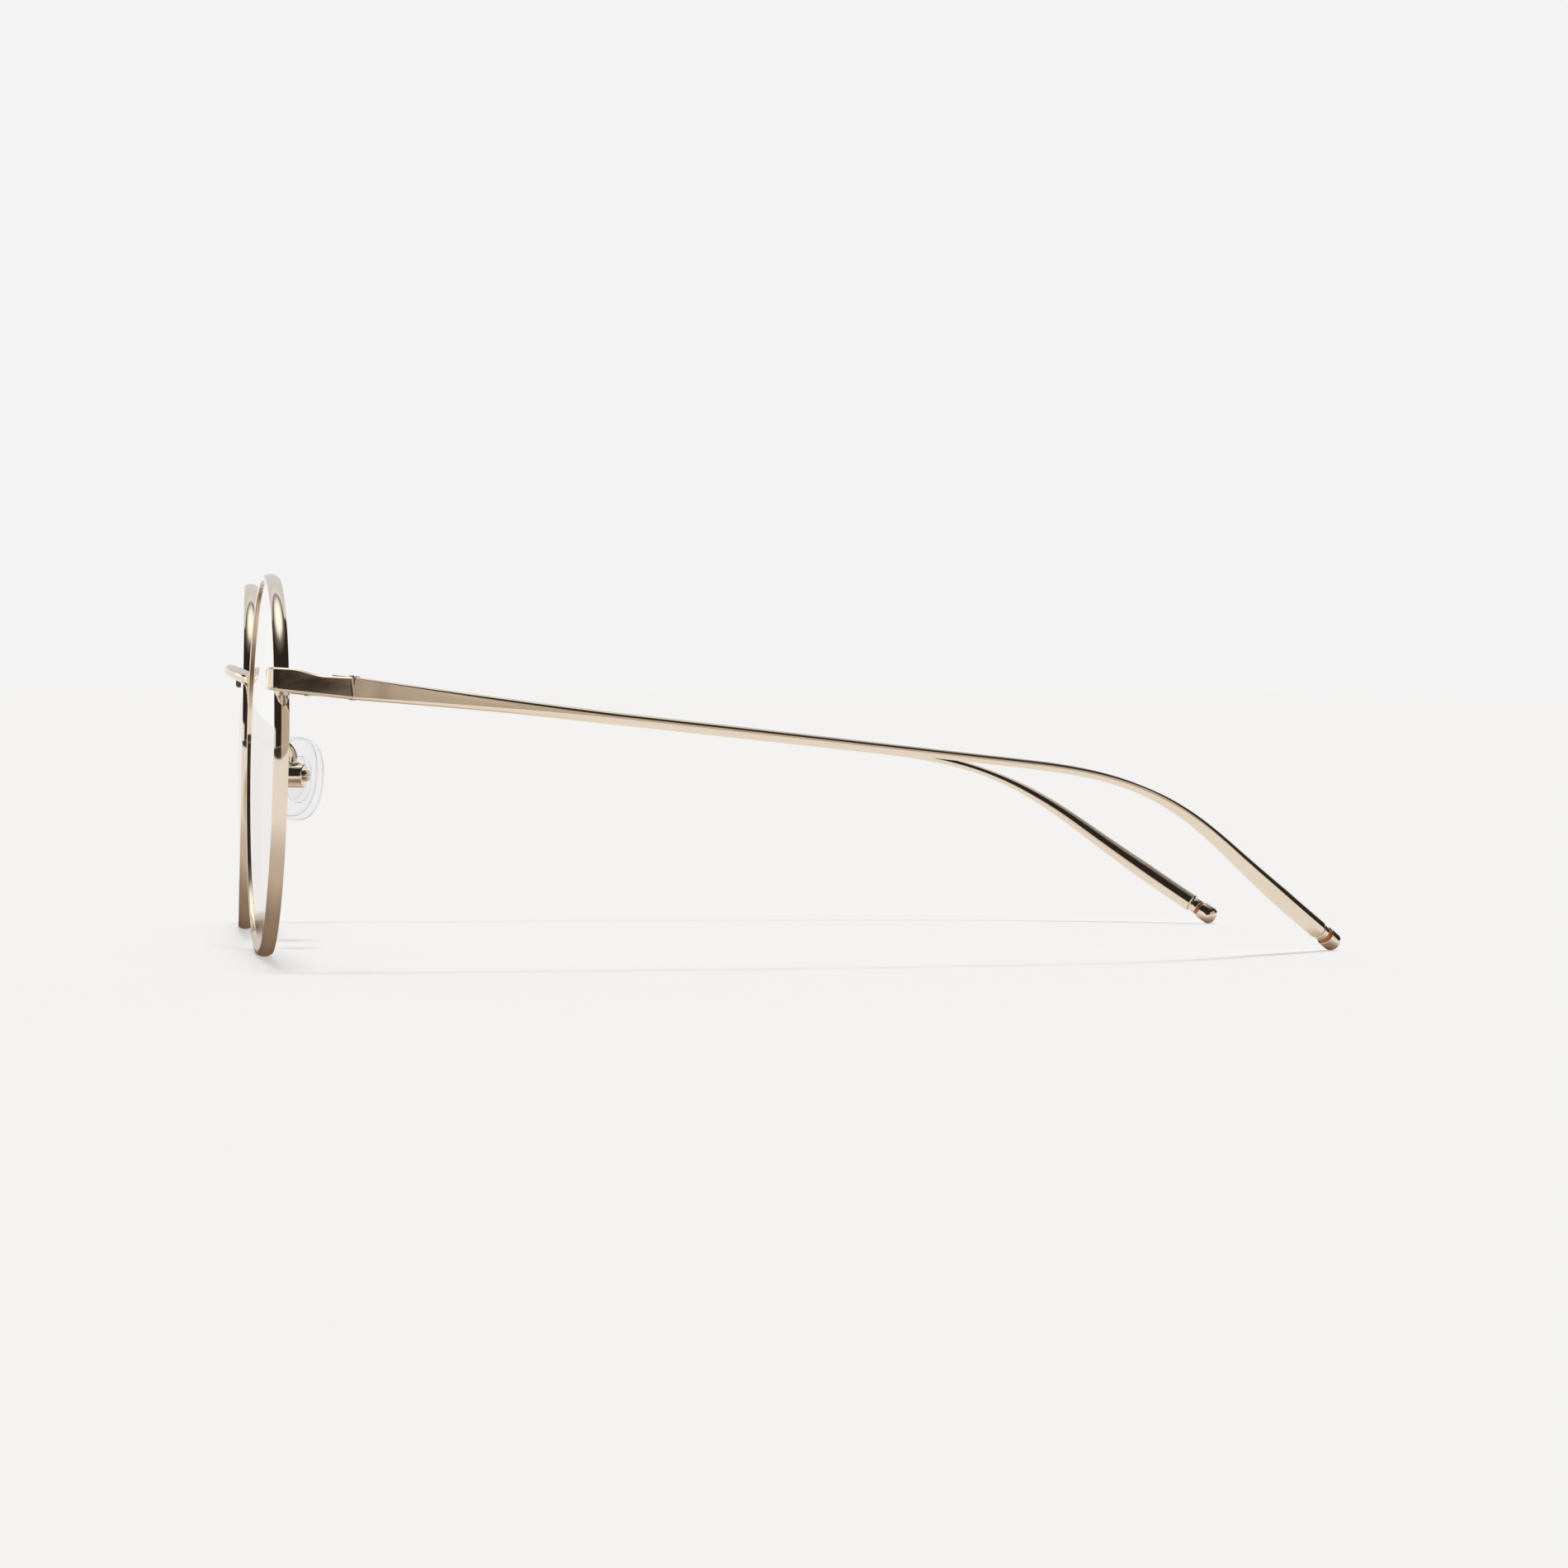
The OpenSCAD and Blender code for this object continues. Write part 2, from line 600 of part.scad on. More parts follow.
left_rim();
right_rim();
left_lens();
right_lens();
bridge();
left_endpiece();
right_endpiece();
left_hinge_front();
right_hinge_front();
left_hinge_temple();
right_hinge_temple();
left_hinge_screw();
right_hinge_screw();
left_closing_block_upper();
right_closing_block_upper();
left_closing_block_lower();
right_closing_block_lower();
left_closing_screw();
right_closing_screw();
left_pad_arm();
right_pad_arm();
left_pad_box();
right_pad_box();
left_pad_screw();
right_pad_screw();
left_pad_core();
right_pad_core();
left_nose_pad();
right_nose_pad();
left_temple();
right_temple();
left_tip_collar();
right_tip_collar();
left_tip_ring();
right_tip_ring();
left_tip_cap();
right_tip_cap();
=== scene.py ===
"""Looks of the round wire eyeglasses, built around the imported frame.

Shapes are worked out in millimetres in the part's design frame, where x = 0 is the mirror plane, y = 0 is
under the rims and z = 0 is the floor. `make` shifts them into the row frame, mirrors the right side and turns
them into metres.
"""

import json
import math

import bmesh
import bpy
from mathutils import Euler, Matrix, Vector


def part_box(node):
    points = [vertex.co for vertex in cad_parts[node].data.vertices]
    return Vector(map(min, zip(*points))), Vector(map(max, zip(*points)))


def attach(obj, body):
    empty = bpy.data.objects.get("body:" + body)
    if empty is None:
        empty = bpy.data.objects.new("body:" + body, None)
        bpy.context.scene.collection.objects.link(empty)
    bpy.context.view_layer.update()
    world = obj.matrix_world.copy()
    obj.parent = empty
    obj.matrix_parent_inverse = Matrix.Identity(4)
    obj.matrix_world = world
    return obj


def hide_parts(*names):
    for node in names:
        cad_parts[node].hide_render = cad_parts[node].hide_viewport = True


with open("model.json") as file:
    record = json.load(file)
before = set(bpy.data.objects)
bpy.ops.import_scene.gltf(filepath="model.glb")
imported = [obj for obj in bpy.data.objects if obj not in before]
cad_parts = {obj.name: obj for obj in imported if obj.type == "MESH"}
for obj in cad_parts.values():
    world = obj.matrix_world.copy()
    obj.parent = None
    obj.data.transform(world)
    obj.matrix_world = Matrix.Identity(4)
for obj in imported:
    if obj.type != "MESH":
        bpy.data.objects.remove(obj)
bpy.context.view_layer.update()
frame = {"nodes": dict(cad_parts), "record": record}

MM = 0.001
SIDES = ("left", "right")
joints = {joint["name"]: joint for joint in frame["record"]["behaviour"]["joints"]}

# ---------------------------------------------------------------- sizes, as in the part's source
FIT = 0.02
RIM_DEPTH = 1.9
RIM_WALL = 1.0
CROWN_R = 1.6
GROOVE_HALF = 0.45
GROOVE_DEPTH = 0.42
WRAP = 1.8
LEAN = 1.05
RIM_X = 35.0
RIM_H = 49.54
OUTLINE_MID = 0.77
SPLIT_Z = 35.25
SPLIT_GAP = 0.08
# Each arc of the rim's outline: centre, radius, and the angles where it starts and ends
OUTLINE = (
    ((5.61, 3.52), 20.15, 0, 53.13),
    ((0, -3.96), 29.5, 53.13, 126.87),
    ((-5.61, 3.52), 20.15, 126.87, 180),
    ((2.64, 3.52), 28.4, 180, 233.13),
    ((0, 0), 24.0, 233.13, 306.87),
    ((-2.64, 3.52), 28.4, 306.87, 360),
)
LENS_R = 380.0
LENS_T = 1.55
LENS_APEX = 1.363
LENS_EDGE_HALF = 0.38
LENS_GROOVE_PLAY = 0.06

# The bridge wire is thicker here than in the part's source, and comes forward less to stay in its box
BRIDGE_D = 1.6
BRIDGE_FORWARD = 2.6
BRIDGE_RISE = 1.2
BRIDGE_Y = -0.62
BRIDGE_Z = 35.9
BRIDGE_HALF = 11.0
BRIDGE_SINK = 0.9  # how far each end runs into its rim, in degrees of the arc
BRIDGE_FLARE = 0.16  # how much the wire widens at its ends, as a share

HINGE_Y = 10.2
BLADE_T = 1.0
BLADE_H = 2.84
KNUCKLE_D = 1.9
STRIP_T = 0.95
BEND_R = 1.35
FRONT_Y = -0.58
STEP_DOWN = 0.75
STEP_START = 2.2
STEP_LENGTH = 4.4
STRIP_ABOVE = 1.2  # how far its top edge starts above the blade's
STRIP_BELOW = 1.15  # how far its lower edge starts above the blade's
STRIP_TOP_FALL = 0.045  # how the top edge falls towards the hinge, as a slope
STRIP_LOW_LIFT = 0.2
STRIP_LOW_FALL = 1.55
STRIP_LOW_START = 1.8
STRIP_LOW_LENGTH = 14.4
STRIP_EDGE = 0.28
STRIP_END_GAP = 0.025
STRIP_END_CHAMFER = 0.08

TEMPLE_LENGTH = 145.0
SHAFT_LENGTH = 85.0
BEND_LENGTH = 36.5
TIP_STRAIGHT = 7.0
PATH_STEPS = 58
SHAFT_DROP = 6.3
BEND_DROP = 33.4
TIP_DROP = 31.3
SHAFT_INWARD = 7.9
TIP_INWARD = 33.6
BOW_POWER = 1.6
BLADE_POWER = 1.4  # how fast the blade narrows behind the hinge
BLADE_RISE = 0.08
WIRE_FADE = 45.0
WIRE_D = 1.16
MID_D = 1.36
TIP_D = 2.56
BLADE_LENGTH = 34.0
LEAF_LENGTH = 2.8
FLAT_LENGTH = 31.0
FLAT_LEAN = 0.02  # how far the blade's outer face leans, as a slope
SWELL_START = 103.0
SWELL_END = 132.0

CAP_L = 2.4
RING_L = 0.5
COLLAR_L = 0.95
NECK_L = 0.25
CAP_R = 1.3
CAP_ROUND = 0.9
SPIGOT_R = 0.6
NECK_R = 1.0
RING_R = 1.06
COLLAR_R = 1.12
COLLAR_ROUND = 0.12
RING_ROUND = 0.08
CAP_EDGE = 0.12
TIP_EDGE = 0.12

PAD_H = 11.2
PAD_W = 6.8
PAD_T = 2.3
PAD_BACK = -1.75
PAD_EDGE_R = 0.5
PAD_EDGE_IN = 0.6
PAD_SIDE = 0.9  # how far forward the rounded side reaches before the dome starts
PAD_DOME_POWER = 0.8
PAD_SPLAY = 22
PAD_TILT = 12
BOX_R = 1.6
BOX_W = 3.4
BOX_FRONT = -0.9
BOX_MOUTH_HALF = 1.25
BOX_SPREAD = 125  # half of the angle that its round wall spans
ARM_D = 1.0
ARM_R = 2.2
ARM_SWEEP = 166
ARM_FLARE = 0.25
ARM_X = 9.7
ARM_Y = 5.0
ARM_TOP = 25.25
ARM_LOW = 24.65
ARM_COLLAR_D = 2.1
ARM_COLLAR_L = 1.1
# The pad's back as (depth below it, width, height): flat in the middle, then a shallow channel and a lip
PAD_BACK_RINGS = (
    (0, 3.6, 6.6),
    (0, 4.6, 8.2),
    (0.12, 5.0, 8.8),
    (0.12, 5.7, 9.8),
    (0, 6.1, 10.3),
    (0, 6.45, 10.8),
)
# The core's plate as (height over its back, width, height), from the front to the boss
CORE_RINGS = (
    (-0.6, 0.1, 0.2),
    (-0.6, 3.1, 6.1),
    (-0.5, 3.4, 6.4),
    (-0.1, 3.4, 6.4),
    (0, 3.1, 6.1),
    (0, 1.9, 2.3),
)
CORE_DEPTH = 0.55
CORE_BOSS_D = 1.7
# The box's ends as (distance in from the end, scale of the section)
BOX_END_RINGS = ((0, 0.9), (0.05, 0.96), (0.16, 1))

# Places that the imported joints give
pivot = Vector(joints["left_temple_fold"]["pos_m"]) / MM
ORIGIN_Y = pivot.y - HINGE_Y
HINGE = Vector((pivot.x + BLADE_T / 2 + KNUCKLE_D / 2 + FIT, HINGE_Y, pivot.z))
pad_joint = Vector(joints["left_pad_rock"]["pos_m"]) / MM
PAD_PIVOT = Vector((pad_joint.x, pad_joint.y - ORIGIN_Y, pad_joint.z))
HALF_WIDTH = HINGE.x + BLADE_T / 2


# ---------------------------------------------------------------- shape helpers
def turn(x=0.0, y=0.0, z=0.0):
    """A rotation about x, then y, then z, in degrees."""
    return Euler([math.radians(a) for a in (x, y, z)]).to_matrix().to_4x4()


def ease(t):
    """A smooth step from 0 to 1."""
    t = min(max(t, 0.0), 1.0)
    return t * t * (3 - 2 * t)


def along(t):
    """t held between 0 and 1."""
    return min(max(t, 0.0), 1.0)


def rounded(corners, steps=5):
    """A closed outline with each corner (x, y, radius) rounded."""
    points = []
    for i, (x, y, radius) in enumerate(corners):
        here = Vector((x, y))
        if radius == 0:
            points.append(here)
            continue
        before = (Vector(corners[i - 1][:2]) - here).normalized()
        after = (Vector(corners[(i + 1) % len(corners)][:2]) - here).normalized()
        half = before.angle(after) / 2
        centre = here + (before + after).normalized() * radius / math.sin(half)
        first = here + before * radius / math.tan(half) - centre
        last = here + after * radius / math.tan(half) - centre
        sweep = first.angle_signed(last)
        for k in range(steps + 1):
            a = -sweep * k / steps
            points.append(centre + Matrix.Rotation(a, 2) @ first)
    return points


def loft(rings):
    """Vertices and faces of a skin over rings of points, with flat ends."""
    count = len(rings[0])
    vertices = [Vector(p) for ring in rings for p in ring]
    faces = []
    for r in range(len(rings) - 1):
        a = r * count
        b = a + count
        for i in range(count):
            j = (i + 1) % count
            faces.append((a + i, b + i, b + j, a + j))
    faces.append(tuple(range(count)))
    faces.append(tuple(reversed(range(len(vertices) - count, len(vertices)))))
    return vertices, faces


def revolve(profile, matrix, sides=72):
    """A skin of a profile of (radius, height) points round a matrix's z axis."""
    rings = []
    for radius, height in profile:
        ring = []
        for i in range(sides):
            a = 2 * math.pi * i / sides
            ring.append(matrix @ Vector((radius * math.cos(a), radius * math.sin(a), height)))
        rings.append(ring)
    return loft(rings)


def make(side, part, shape, body, material, sharp=35):
    """A piece named after the CAD node that it stands for."""
    vertices, faces = shape
    name = f"{side}_{part}" if side else part
    mirror = -1 if side == "right" else 1
    mesh = bpy.data.meshes.new(name + "_skin")
    places = [Vector((mirror * v.x, v.y + ORIGIN_Y, v.z)) * MM for v in vertices]
    mesh.from_pydata(places, [], faces)
    cleaner = bmesh.new()
    cleaner.from_mesh(mesh)
    bmesh.ops.recalc_face_normals(cleaner, faces=cleaner.faces)
    cleaner.to_mesh(mesh)
    cleaner.free()
    mesh.shade_smooth()
    mesh.set_sharp_from_angle(angle=math.radians(sharp))
    mesh.materials.append(material)
    piece = bpy.data.objects.new(name + "_look", mesh)
    bpy.context.scene.collection.objects.link(piece)
    # Big flat faces stay flat right up to their rounded edges
    normals = piece.modifiers.new("flat_faces", "WEIGHTED_NORMAL")
    normals.keep_sharp = True
    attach(piece, body)
    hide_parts(name)
    return piece


# ---------------------------------------------------------------- rims and lenses
lean_angle = math.radians(LEAN)
rim_middle = (RIM_X, RIM_H / 2 * math.sin(lean_angle), RIM_H / 2 * math.cos(lean_angle))
rim_matrix = Matrix.Translation(rim_middle) @ turn(x=-LEAN, z=WRAP) @ turn(x=90)


def outline_stations(spacing=0.6):
    """Points and outward directions round the rim, from just above the saw cut to just below it."""
    corner_c, corner_r = OUTLINE[0][:2]
    lift = SPLIT_Z - rim_matrix.translation.z + OUTLINE_MID - corner_c[1]
    cut = math.degrees(math.asin(lift / corner_r))
    half_gap = math.degrees(SPLIT_GAP / 2 / corner_r)
    first_arc = (corner_c, corner_r, cut + half_gap, OUTLINE[0][3])
    last_arc = (corner_c, corner_r, 0, cut - half_gap)
    arcs = [first_arc, *OUTLINE[1:], last_arc]
    stations = []
    for k, (centre, radius, start, end) in enumerate(arcs):
        steps = max(2, round(math.radians(end - start) * radius / spacing))
        for i in range(steps + (k == len(arcs) - 1)):
            a = math.radians(start + (end - start) * i / steps)
            out = Vector((math.cos(a), math.sin(a)))
            stations.append((Vector(centre) + out * radius - Vector((0, OUTLINE_MID)), out))
    return stations


def rim_section():
    """The rim wire's section as (outward, forward) points."""
    half = RIM_DEPTH / 2
    corners = [(-RIM_WALL, half, 0.1)]
    for i in range(13):
        d = half - RIM_DEPTH * i / 12
        corners.append((math.sqrt(CROWN_R**2 - d * d) - CROWN_R, d, 0.1 if i in (0, 12) else 0))
    corners += [
        (-RIM_WALL, -half, 0.1),
        (-RIM_WALL, -GROOVE_HALF, 0),
        (GROOVE_DEPTH - RIM_WALL, 0, 0),
        (-RIM_WALL, GROOVE_HALF, 0),
    ]
    return rounded(corners)


def rim_shape():
    section = rim_section()
    rings = []
    for point, out in outline_stations():
        rings.append([rim_matrix @ Vector((*(point + out * o), d)) for o, d in section])
    return loft(rings)


def lens_shape():
    """A nearly flat lens, with a bevel round it that sits in the rim's groove."""
    edge = RIM_WALL + FIT
    stations = outline_stations()

    def surface(share, radius):
        ring = []
        for point, out in stations:
            flat = (point - out * edge) * share
            height = LENS_APEX - LENS_R + math.sqrt(radius**2 - flat.length_squared)
            ring.append(rim_matrix @ Vector((*flat, height)))
        return ring

    def rim_line(offset, height):
        return [rim_matrix @ Vector((*(point - out * offset), height)) for point, out in stations]

    shares = [0.02] + [i / 20 for i in range(1, 21)]
    rings = [surface(share, LENS_R) for share in shares]
    rings.append(rim_line(edge, LENS_EDGE_HALF))
    rings.append(rim_line(edge - GROOVE_DEPTH + LENS_GROOVE_PLAY, 0))
    rings.append(rim_line(edge, -LENS_EDGE_HALF))
    rings += [surface(share, LENS_R - LENS_T) for share in reversed(shares)]
    return loft(rings)


# ---------------------------------------------------------------- bridge
def bridge_shape():
    """A round wire that bows forward and up between the rims."""
    sag = math.hypot(BRIDGE_FORWARD, BRIDGE_RISE)
    radius = (BRIDGE_HALF**2 + sag**2) / (2 * sag)
    slope = math.degrees(math.atan2(BRIDGE_RISE, BRIDGE_FORWARD))
    middle = Matrix.Translation((0, BRIDGE_Y, BRIDGE_Z))
    place = middle @ turn(x=-slope) @ Matrix.Translation((0, radius - sag, 0))
    reach = math.asin(BRIDGE_HALF / radius) + math.radians(BRIDGE_SINK)
    rings = []
    for i in range(81):
        a = -math.pi / 2 + reach * (i / 40 - 1)
        out = Vector((math.cos(a), math.sin(a), 0))
        swell = 1 + BRIDGE_FLARE * max(0.0, abs(i / 40 - 1) * 12 - 11) ** 2
        offset = BRIDGE_D / 2 * swell
        ring = []
        for k in range(40):
            b = 2 * math.pi * k / 40
            lift = Vector((0, 0, offset * math.sin(b)))
            ring.append(place @ (out * (radius + offset * math.cos(b)) + lift))
        rings.append(ring)
    return loft(rings)


# ---------------------------------------------------------------- endpieces
strip_top = HINGE.z + BLADE_H / 2 + STRIP_ABOVE
strip_bottom = HINGE.z - BLADE_H / 2 + STRIP_BELOW
LEG_X = RIM_X + 22.6
FACE_LEAN = 0.035  # how far the top of the side face leans in, as a slope
FACE_TURN = 0.011  # how far its front end turns in


def endpiece_shape():
    """A strip that runs out over the rim, turns back and ends at the hinge."""
    centre = Vector((HALF_WIDTH - BEND_R, FRONT_Y + BEND_R))
    hinge_slope = math.tan(math.radians(SHAFT_DROP))
    plan = []
    for i in range(9):
        plan.append((Vector((LEG_X + (centre.x - LEG_X) * i / 8, FRONT_Y)), Vector((0, -1))))
    for i in range(1, 16):
        a = math.radians(-90 + 90 * i / 16)
        out = Vector((math.cos(a), math.sin(a)))
        plan.append((centre + out * BEND_R, out))
    end_y = HINGE_Y - STRIP_END_GAP
    for i in range(33):
        plan.append((Vector((HALF_WIDTH, centre.y + (end_y - 0.16 - centre.y) * i / 32)), Vector((1, 0))))
    plan.append((Vector((HALF_WIDTH, end_y)), Vector((1, 0))))
    rings = []
    for point, out in plan:
        y = point.y
        top = strip_top - STRIP_TOP_FALL * y - STEP_DOWN * ease((y - STEP_START) / STEP_LENGTH)
        low = strip_bottom + STRIP_LOW_LIFT - STRIP_LOW_FALL * (y + STRIP_LOW_START) / STRIP_LOW_LENGTH
        mid, half = (top + low) / 2, (top - low) / 2
        section = rounded(
            [
                (-STRIP_T, half, 0.08),
                (-STRIP_EDGE, half, 0.06),
                (0, half - 0.2, 0.05),
                (0, -half + 0.3, 0.05),
                (-STRIP_EDGE, -half, 0.05),
                (-STRIP_T, -half, 0.08),
            ]
        )
        ring = []
        for o, z in section:
            back = FACE_LEAN * max(0.0, z + half) + FACE_TURN * out.x * (end_y - y)
            place = point + out * (o - back * (o > -0.5))
            push = hinge_slope * (HINGE.z - mid - z) * ease((y - 6) / 4)
            ring.append(Vector((place.x, place.y + push, mid + z)))
        rings.append(ring)
    # A fine chamfer where the strip meets the temple
    last = rings[-1]
    middle = sum(last, Vector()) / len(last)
    rings[-1] = [v + Vector((0, -STRIP_END_CHAMFER, 0)) for v in last]
    rings.append([middle + (v - middle) * 0.95 for v in last])
    return loft(rings)


# ---------------------------------------------------------------- temples and tips
bend_end = SHAFT_LENGTH + BEND_LENGTH


def drop_at(s):
    """How steeply the temple falls at the distance s from the hinge, in degrees."""
    level = SHAFT_DROP + (BEND_DROP - SHAFT_DROP) * ease((s - SHAFT_LENGTH) / BEND_LENGTH)
    return level + (TIP_DROP - BEND_DROP) * along((s - bend_end) / (TEMPLE_LENGTH - TIP_STRAIGHT - bend_end))


def inward_at(s):
    """How far the temple turns in towards the head at s, in degrees."""
    level = SHAFT_INWARD * along(s / SHAFT_LENGTH) ** BOW_POWER
    return level + (TIP_INWARD - SHAFT_INWARD) * ease((s - SHAFT_LENGTH) / BEND_LENGTH)


def direction_at(s):
    drop = math.radians(drop_at(s))
    inward = math.radians(inward_at(s))
    return Vector((-math.cos(drop) * math.sin(inward), math.cos(drop) * math.cos(inward), -math.sin(drop)))


step = TEMPLE_LENGTH / PATH_STEPS
path = [HINGE.copy()]
for number in range(PATH_STEPS):
    path.append(path[-1] + direction_at((number + 0.5) * step) * step)


def path_at(s):
    """A smooth curve through the path's points."""
    i = min(int(s / step), PATH_STEPS - 1)
    t = s / step - i
    start = direction_at(i * step) * step
    end = direction_at((i + 1) * step) * step
    return (
        path[i] * (1 + 2 * t) * (1 - t) ** 2
        + start * t * (1 - t) ** 2
        + path[i + 1] * t * t * (3 - 2 * t)
        + end * t * t * (t - 1)
    )


def shaft_d(s):
    """The temple's height at s."""
    if s < BLADE_LENGTH:
        return MID_D + (BLADE_H - MID_D) * (1 - s / BLADE_LENGTH) ** BLADE_POWER
    wire = MID_D + (WIRE_D - MID_D) * ease((s - BLADE_LENGTH) / WIRE_FADE)
    return wire + (TIP_D - WIRE_D) * along((s - SWELL_START) / (SWELL_END - SWELL_START))


def half_thick(s):
    """Half of the temple's thickness at s."""
    if s < BLADE_LENGTH:
        return BLADE_T / 2 + (MID_D - BLADE_T) / 2 * along((s - LEAF_LENGTH) / (BLADE_LENGTH - LEAF_LENGTH))
    return shaft_d(s) / 2


def temple_ring(s, rx, rz, flat=0.0, rise=0.0, heading=None):
    """A section across the temple at s: flat sides, raised by rise, between two half ellipses."""
    place = path_at(s)
    heading = heading or direction_at(s)
    side = Vector((heading.y, -heading.x, 0)).normalized()
    up = side.cross(heading)
    ring = []
    for i in range(56):
        a = 2 * math.pi * (i + 0.5) / 56
        edge = flat + rise if math.sin(a) > 0 else rise - flat
        cap = rz - edge if math.sin(a) > 0 else rz + edge
        x = rx * math.cos(a)
        z = edge + cap * math.sin(a)
        lean = FLAT_LEAN * flat / (BLADE_H / 2) * (z + rz) if x > 0 else 0
        ring.append(place + side * (x - FLAT_LEAN * 2 * flat * (x > 0) + lean) + up * z)
    return ring


def temple_shape():
    blade_end = TEMPLE_LENGTH - CAP_L - RING_L - COLLAR_L - NECK_L
    stops = [0.1, 0.18]
    while stops[-1] + 0.8 < blade_end - 0.2:
        stops.append(stops[-1] + 0.8)
    rings = [temple_ring(0.025, BLADE_T / 2 - 0.07, BLADE_H / 2 - 0.07, BLADE_H / 2 - 0.45, BLADE_RISE)]
    for s in stops:
        half = shaft_d(s) / 2
        flat = max(0.0, half - 0.28 - 0.4 * along(s / FLAT_LENGTH)) * along(1 - s / FLAT_LENGTH) ** 0.3
        rings.append(temple_ring(s, half_thick(s), half, flat, BLADE_RISE * along(flat)))
    heading = direction_at(TEMPLE_LENGTH)
    ends = (
        (blade_end - TIP_EDGE, TIP_D / 2),
        (blade_end, TIP_D / 2 - TIP_EDGE),
        (blade_end, NECK_R),
        (blade_end + NECK_L, NECK_R),
        (blade_end + NECK_L, SPIGOT_R),
        (TEMPLE_LENGTH - CAP_L + 1, SPIGOT_R),
    )
    for s, r in ends:
        rings.append(temple_ring(s, r, r, heading=heading))
    return loft(rings)


def tip_matrix(from_end):
    place = path_at(TEMPLE_LENGTH - from_end)
    return Matrix.Translation(place) @ turn(x=-(90 + TIP_DROP), z=TIP_INWARD)


def sleeve_shape(from_end, length, radius, edge):
    """A ring round the temple's spigot with softly rounded ends."""
    start, end = FIT / 2, length - FIT / 2
    profile = [(SPIGOT_R + FIT, start)]
    for i in range(7):
        a = math.radians(15 * i)
        profile.append((radius - edge + edge * math.sin(a), start + edge - edge * math.cos(a)))
    for i in range(7):
        a = math.radians(15 * i)
        profile.append((radius - edge + edge * math.cos(a), end - edge + edge * math.sin(a)))
    profile.append((SPIGOT_R + FIT, end))
    return revolve(profile, tip_matrix(from_end))


def cap_shape():
    profile = [(SPIGOT_R + FIT, 0), (CAP_R - CAP_EDGE, 0)]
    for i in range(1, 6):
        a = math.radians(18 * i)
        profile.append((CAP_R - CAP_EDGE + CAP_EDGE * math.sin(a), CAP_EDGE - CAP_EDGE * math.cos(a)))
    for i in range(17):
        a = math.radians(90 * i / 16)
        radius = CAP_R - CAP_ROUND + CAP_ROUND * math.cos(a)
        profile.append((radius, CAP_L - CAP_ROUND + CAP_ROUND * math.sin(a)))
    profile.append((0.02, CAP_L))
    return revolve(profile, tip_matrix(CAP_L))


# ---------------------------------------------------------------- nose pads
pad_matrix = Matrix.Translation(PAD_PIVOT) @ turn(z=-PAD_SPLAY) @ turn(y=-PAD_TILT)


def oval(width, height, count=72):
    """A superellipse, a little squarer than an ellipse."""
    points = []
    for i in range(count):
        a = 2 * math.pi * i / count
        x = math.copysign(abs(math.cos(a)) ** (2 / 2.4), math.cos(a))
        y = math.copysign(abs(math.sin(a)) ** (2 / 2.4), math.sin(a))
        points.append((width / 2 * x, height / 2 * y))
    return points


def pad_ring(x, width, height):
    """An oval across the pad's x axis."""
    return [pad_matrix @ Vector((x, y, z)) for y, z in oval(width, height)]


def nose_pad_shape():
    """A soft shell with a flat back, a lip round it, rounded edges and a domed front."""
    back = PAD_BACK
    front = PAD_BACK - PAD_T
    rings = [pad_ring(back - depth, width, height) for depth, width, height in PAD_BACK_RINGS]
    for i in range(9):
        a = math.radians(90 * i / 8)
        shrink = PAD_EDGE_IN * (1 - math.sin(a))
        x = back - PAD_EDGE_R + PAD_EDGE_R * math.cos(a)
        rings.append(pad_ring(x, PAD_W - shrink, PAD_H - shrink))
    for i in range(1, 13):
        a = math.radians(90 * i / 12)
        share = math.cos(a) ** PAD_DOME_POWER
        x = back - PAD_SIDE + (front - back + PAD_SIDE) * math.sin(a)
        rings.append(pad_ring(x, max(0.05, PAD_W * share), max(0.08, PAD_H * share)))
    return loft(rings)


def pad_core_shape():
    """The hard plate inside the pad, with the boss that the pad screw holds."""
    x = PAD_BACK - CORE_DEPTH
    rings = [pad_ring(x + rise, width, height) for rise, width, height in CORE_RINGS]
    for k in range(1, 6):
        rings.append(pad_ring(x + k * 0.3, CORE_BOSS_D, CORE_BOSS_D))
    for k in range(1, 7):
        a = math.radians(15 * k)
        rings.append(pad_ring(x + 1.5 + 1.55 * math.sin(a), CORE_BOSS_D, max(0.1, CORE_BOSS_D * math.cos(a))))
    return loft(rings)


def tube(points, radius_at, sides=32):
    """A round wire along points. radius_at gives its radius for a share of the way."""
    rings = []
    side = None
    for i, point in enumerate(points):
        heading = (points[min(i + 1, len(points) - 1)] - points[max(i - 1, 0)]).normalized()
        if side is None:
            side = heading.orthogonal().normalized()
        side = (side - heading * side.dot(heading)).normalized()
        up = heading.cross(side)
        size = radius_at(i / (len(points) - 1))
        ring = []
        for k in range(sides):
            a = 2 * math.pi * k / sides
            ring.append(point + (side * math.cos(a) + up * math.sin(a)) * size)
        rings.append(ring)
    return loft(rings)


def pad_arm_shape():
    """A wire that loops from the back of the rim down to the pad box."""
    points = []
    for i in range(41):
        a = math.radians(ARM_SWEEP * (1 - i / 40))
        points.append(Vector((ARM_X, ARM_Y - ARM_R + ARM_R * math.cos(a), ARM_TOP + ARM_R * math.sin(a))))
    for i in range(1, 4):
        points.append(Vector((ARM_X, ARM_Y, ARM_TOP + (ARM_LOW + FIT - ARM_TOP) * i / 3)))
    return tube(points, lambda t: ARM_D / 2 * (1 + ARM_FLARE * ease(1 - t * 12)))


